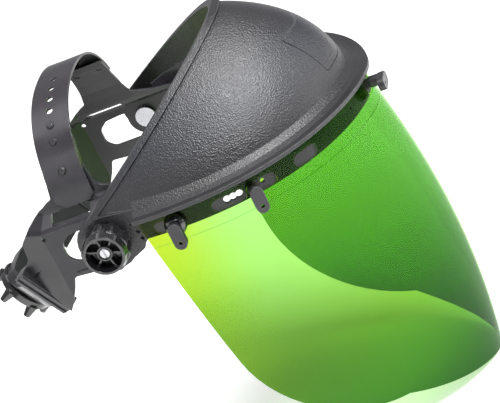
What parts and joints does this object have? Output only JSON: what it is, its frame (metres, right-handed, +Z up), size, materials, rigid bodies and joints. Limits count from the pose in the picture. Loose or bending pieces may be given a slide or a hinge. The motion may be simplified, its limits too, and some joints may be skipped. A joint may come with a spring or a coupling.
{
  "type": "face shield",
  "caption": "Tilting green visor window on a moulded black crown with turn buttons, friction pivot knobs and a ratchet headgear.",
  "frame": {"origin": "symmetry plane, brim plane, where the brim's side legs end and its front curve begins", "axes": "+Z up as worn, -Y where the wearer looks, -X the wearer's right"},
  "size_m": [0.2286, 0.2995, 0.285],
  "materials": {
    "crown_black": "fine grained moulded, soft sheen",
    "window_green": "clear green polycarbonate sheet",
    "gloss_black": "polished black",
    "moulded_black": "satin moulded",
    "harness_black": "satin flexible plastic",
    "sweatband_fabric": "brushed knit over foam",
    "steel": "zinc plated"
  },
  "bodies": {
    "headgear": {"brow_band": "harness_black", "brow_rivets": "harness_black", "detent_ring": "steel", "friction_washer_left": "moulded_black", "friction_washer_right": "moulded_black", "overhead_strap": "harness_black", "pivot_bolt_left": "steel", "pivot_bolt_right": "steel", "ratchet_backplate": "moulded_black", "ratchet_housing": "moulded_black", "side_plate_left": "harness_black", "side_plate_right": "harness_black", "strap_guide_left": "moulded_black", "strap_guide_right": "moulded_black", "strap_pegs": "harness_black", "strap_rivets": "harness_black", "sweatband": "sweatband_fabric"},
    "crown": {"crown": "crown_black", "window": "window_green", "spring_washer_right": "steel", "spring_washer_left": "steel"},
    "pivot_knob_right": {"pivot_knob_right": "gloss_black"},
    "pivot_knob_left": {"pivot_knob_left": "gloss_black"},
    "ratchet": {"ratchet_knob": "gloss_black", "ratchet_pinion": "moulded_black", "ratchet_screw": "steel"},
    "nape_strap_right": {"nape_strap_right": "harness_black"},
    "nape_strap_left": {"nape_strap_left": "harness_black"},
    "button_rear_right": {"turn_button_rear_right": "moulded_black", "button_retainer_rear_right": "steel", "button_cap_rear_right": "gloss_black"},
    "button_rear_left": {"turn_button_rear_left": "moulded_black", "button_retainer_rear_left": "steel", "button_cap_rear_left": "gloss_black"},
    "button_mid_right": {"turn_button_mid_right": "moulded_black", "button_retainer_mid_right": "steel"},
    "button_mid_left": {"turn_button_mid_left": "moulded_black", "button_retainer_mid_left": "steel"},
    "button_front": {"turn_button_front": "moulded_black", "button_retainer_front": "steel"}
  },
  "joints": [
    {"name": "crown_tilt", "type": "hinge", "parent": "headgear", "child": "crown", "pos_m": [0, 0.0295, -0.0112], "axis": [-1, 0, 0], "range_deg": [0, 90]},
    {"name": "pivot_knob_right_turn", "type": "hinge", "parent": "headgear", "child": "pivot_knob_right", "pos_m": [-0.1055, 0.0295, -0.0112], "axis": [-1, 0, 0], "range_deg": [-180, 180]},
    {"name": "pivot_knob_left_turn", "type": "hinge", "parent": "headgear", "child": "pivot_knob_left", "pos_m": [0.1055, 0.0295, -0.0112], "axis": [1, 0, 0], "range_deg": [-180, 180]},
    {"name": "ratchet_turn", "type": "hinge", "parent": "headgear", "child": "ratchet", "pos_m": [0, 0.12317, -0.06], "axis": [0, 0.866, -0.5], "range_deg": [-60, 120]},
    {"name": "nape_right_slide", "type": "hinge", "parent": "headgear", "child": "nape_strap_right", "pos_m": [0, 0.0596, -0.0233], "axis": [0, 0.5, 0.866], "range_deg": [-8.15, 4.1]},
    {"name": "nape_left_slide", "type": "hinge", "parent": "headgear", "child": "nape_strap_left", "pos_m": [0, 0.0596, -0.0233], "axis": [0, 0.5, 0.866], "range_deg": [-4.2, 8.35]},
    {"name": "button_rear_right_turn", "type": "hinge", "parent": "crown", "child": "button_rear_right", "pos_m": [-0.10232, -0.016, -0.0118], "axis": [-1, -0.007, 0], "range_deg": [0, 90]},
    {"name": "button_rear_left_turn", "type": "hinge", "parent": "crown", "child": "button_rear_left", "pos_m": [0.10232, -0.016, -0.0118], "axis": [-1, 0.007, 0], "range_deg": [0, 90]},
    {"name": "button_mid_right_turn", "type": "hinge", "parent": "crown", "child": "button_mid_right", "pos_m": [-0.09319, -0.0655, -0.0118], "axis": [-0.928, -0.3727, 0], "range_deg": [0, 90]},
    {"name": "button_mid_left_turn", "type": "hinge", "parent": "crown", "child": "button_mid_left", "pos_m": [0.09319, -0.0655, -0.0118], "axis": [-0.928, 0.3727, 0], "range_deg": [0, 90]},
    {"name": "button_front_turn", "type": "hinge", "parent": "crown", "child": "button_front", "pos_m": [0, -0.13461, -0.0118], "axis": [0, -1, 0], "range_deg": [0, 90]}
  ],
  "couplings": [
    {"joint": "nape_right_slide", "follows": "ratchet_turn", "ratio": -0.067476},
    {"joint": "nape_left_slide", "follows": "ratchet_turn", "ratio": 0.069156}
  ]
}
